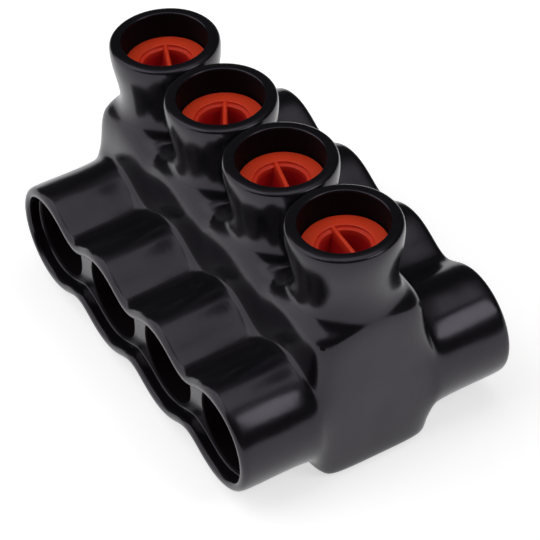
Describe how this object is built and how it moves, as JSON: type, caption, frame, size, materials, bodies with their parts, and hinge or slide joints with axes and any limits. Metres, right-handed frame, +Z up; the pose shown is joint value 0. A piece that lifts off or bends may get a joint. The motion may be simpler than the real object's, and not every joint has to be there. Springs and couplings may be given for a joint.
{
  "type": "insulated multi-tap connector",
  "caption": "Black dip-moulded power connector with a row of capped screw chimneys on top and plugged wire barrels on both long sides.",
  "frame": {"origin": "middle of the flat underside of the jacket", "axes": "+X along the wires towards the right-hand barrels, +Y along the row of taps towards tap 1, +Z up towards the screw chimneys"},
  "size_m": [0.069, 0.1034, 0.061],
  "materials": {
    "black_plastisol": "gloss",
    "block_aluminium": "satin tin plate",
    "screw_aluminium": "satin",
    "red_plastic": "satin"
  },
  "bodies": {
    "connector": {"insulating_jacket": "black_plastisol", "connector_block": "block_aluminium"},
    "set_screw_1": {"set_screw_1": "screw_aluminium"},
    "set_screw_2": {"set_screw_2": "screw_aluminium"},
    "set_screw_3": {"set_screw_3": "screw_aluminium"},
    "set_screw_4": {"set_screw_4": "screw_aluminium"},
    "screw_cap_1": {"screw_cap_1": "red_plastic"},
    "screw_cap_2": {"screw_cap_2": "red_plastic"},
    "screw_cap_3": {"screw_cap_3": "red_plastic"},
    "screw_cap_4": {"screw_cap_4": "red_plastic"},
    "port_plug_left_1": {"port_plug_left_1": "red_plastic"},
    "port_plug_left_2": {"port_plug_left_2": "red_plastic"},
    "port_plug_left_3": {"port_plug_left_3": "red_plastic"},
    "port_plug_left_4": {"port_plug_left_4": "red_plastic"},
    "port_plug_right_1": {"port_plug_right_1": "red_plastic"},
    "port_plug_right_2": {"port_plug_right_2": "red_plastic"},
    "port_plug_right_3": {"port_plug_right_3": "red_plastic"},
    "port_plug_right_4": {"port_plug_right_4": "red_plastic"}
  },
  "joints": [
    {"name": "screw_1_down", "type": "slide", "parent": "connector", "child": "set_screw_1", "axis": [0, 0, -1], "range_m": [-0.0025, 0.0125]},
    {"name": "screw_2_down", "type": "slide", "parent": "connector", "child": "set_screw_2", "axis": [0, 0, -1], "range_m": [-0.0025, 0.0125]},
    {"name": "screw_3_down", "type": "slide", "parent": "connector", "child": "set_screw_3", "axis": [0, 0, -1], "range_m": [-0.0025, 0.0125]},
    {"name": "screw_4_down", "type": "slide", "parent": "connector", "child": "set_screw_4", "axis": [0, 0, -1], "range_m": [-0.0025, 0.0125]},
    {"name": "cap_1_out", "type": "slide", "parent": "connector", "child": "screw_cap_1", "axis": [0, 0, 1], "range_m": [0, 0.03]},
    {"name": "cap_2_out", "type": "slide", "parent": "connector", "child": "screw_cap_2", "axis": [0, 0, 1], "range_m": [0, 0.03]},
    {"name": "cap_3_out", "type": "slide", "parent": "connector", "child": "screw_cap_3", "axis": [0, 0, 1], "range_m": [0, 0.03]},
    {"name": "cap_4_out", "type": "slide", "parent": "connector", "child": "screw_cap_4", "axis": [0, 0, 1], "range_m": [0, 0.03]},
    {"name": "plug_left_1_out", "type": "slide", "parent": "connector", "child": "port_plug_left_1", "axis": [-1, 0, 0], "range_m": [0, 0.035]},
    {"name": "plug_left_2_out", "type": "slide", "parent": "connector", "child": "port_plug_left_2", "axis": [-1, 0, 0], "range_m": [0, 0.035]},
    {"name": "plug_left_3_out", "type": "slide", "parent": "connector", "child": "port_plug_left_3", "axis": [-1, 0, 0], "range_m": [0, 0.035]},
    {"name": "plug_left_4_out", "type": "slide", "parent": "connector", "child": "port_plug_left_4", "axis": [-1, 0, 0], "range_m": [0, 0.035]},
    {"name": "plug_right_1_out", "type": "slide", "parent": "connector", "child": "port_plug_right_1", "axis": [1, 0, 0], "range_m": [0, 0.035]},
    {"name": "plug_right_2_out", "type": "slide", "parent": "connector", "child": "port_plug_right_2", "axis": [1, 0, 0], "range_m": [0, 0.035]},
    {"name": "plug_right_3_out", "type": "slide", "parent": "connector", "child": "port_plug_right_3", "axis": [1, 0, 0], "range_m": [0, 0.035]},
    {"name": "plug_right_4_out", "type": "slide", "parent": "connector", "child": "port_plug_right_4", "axis": [1, 0, 0], "range_m": [0, 0.035]}
  ]
}
